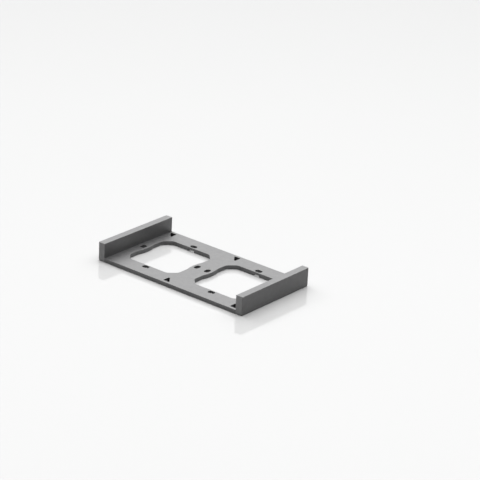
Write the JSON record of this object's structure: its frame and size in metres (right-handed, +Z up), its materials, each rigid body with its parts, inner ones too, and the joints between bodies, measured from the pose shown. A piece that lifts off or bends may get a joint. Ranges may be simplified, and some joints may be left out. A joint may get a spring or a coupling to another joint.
{
  "type": "switch mounting frame",
  "caption": "Flat anthracite mounting frame with square openings for wall switches, upright end rails, slotted screw holes and sprung catches that hold push-on switch modules.",
  "frame": {"origin": "centre of the footprint, on the underside", "axes": "+X along the length, from one end rail to the other; +Y across the width; +Z up, away from the wall"},
  "size_m": [0.1554, 0.084, 0.0165],
  "materials": {
    "anodised_anthracite": "fine matt anodised",
    "catch_steel": "blackened steel",
    "spring_wire": "drawn wire",
    "keeper_plate": "blackened steel",
    "screw_steel": "blackened steel"
  },
  "bodies": {
    "frame": {"base_plate": "anodised_anthracite", "left_end_rail": "anodised_anthracite", "right_end_rail": "anodised_anthracite", "left_rail_screws": "screw_steel", "right_rail_screws": "screw_steel", "left_front_catch_spring": "spring_wire", "left_front_keeper": "keeper_plate", "left_front_keeper_screws": "screw_steel", "left_rear_catch_spring": "spring_wire", "left_rear_keeper": "keeper_plate", "left_rear_keeper_screws": "screw_steel", "right_front_catch_spring": "spring_wire", "right_front_keeper": "keeper_plate", "right_front_keeper_screws": "screw_steel", "right_rear_catch_spring": "spring_wire", "right_rear_keeper": "keeper_plate", "right_rear_keeper_screws": "screw_steel"},
    "left_front_catch_body": {"left_front_catch": "catch_steel"},
    "left_rear_catch_body": {"left_rear_catch": "catch_steel"},
    "right_front_catch_body": {"right_front_catch": "catch_steel"},
    "right_rear_catch_body": {"right_rear_catch": "catch_steel"}
  },
  "joints": [
    {"name": "left_front_catch_slide", "type": "slide", "parent": "frame", "child": "left_front_catch_body", "axis": [-1, 0, 0], "range_m": [0, 0.0016], "stiffness_N_per_m": 1750, "springref_m": -0.0003, "deforming": ["left_front_catch_spring"]},
    {"name": "left_rear_catch_slide", "type": "slide", "parent": "frame", "child": "left_rear_catch_body", "axis": [1, 0, 0], "range_m": [0, 0.0016], "stiffness_N_per_m": 1750, "springref_m": -0.0003, "deforming": ["left_rear_catch_spring"]},
    {"name": "right_front_catch_slide", "type": "slide", "parent": "frame", "child": "right_front_catch_body", "axis": [-1, 0, 0], "range_m": [0, 0.0016], "stiffness_N_per_m": 1750, "springref_m": -0.0003, "deforming": ["right_front_catch_spring"]},
    {"name": "right_rear_catch_slide", "type": "slide", "parent": "frame", "child": "right_rear_catch_body", "axis": [1, 0, 0], "range_m": [0, 0.0016], "stiffness_N_per_m": 1750, "springref_m": -0.0003, "deforming": ["right_rear_catch_spring"]}
  ]
}
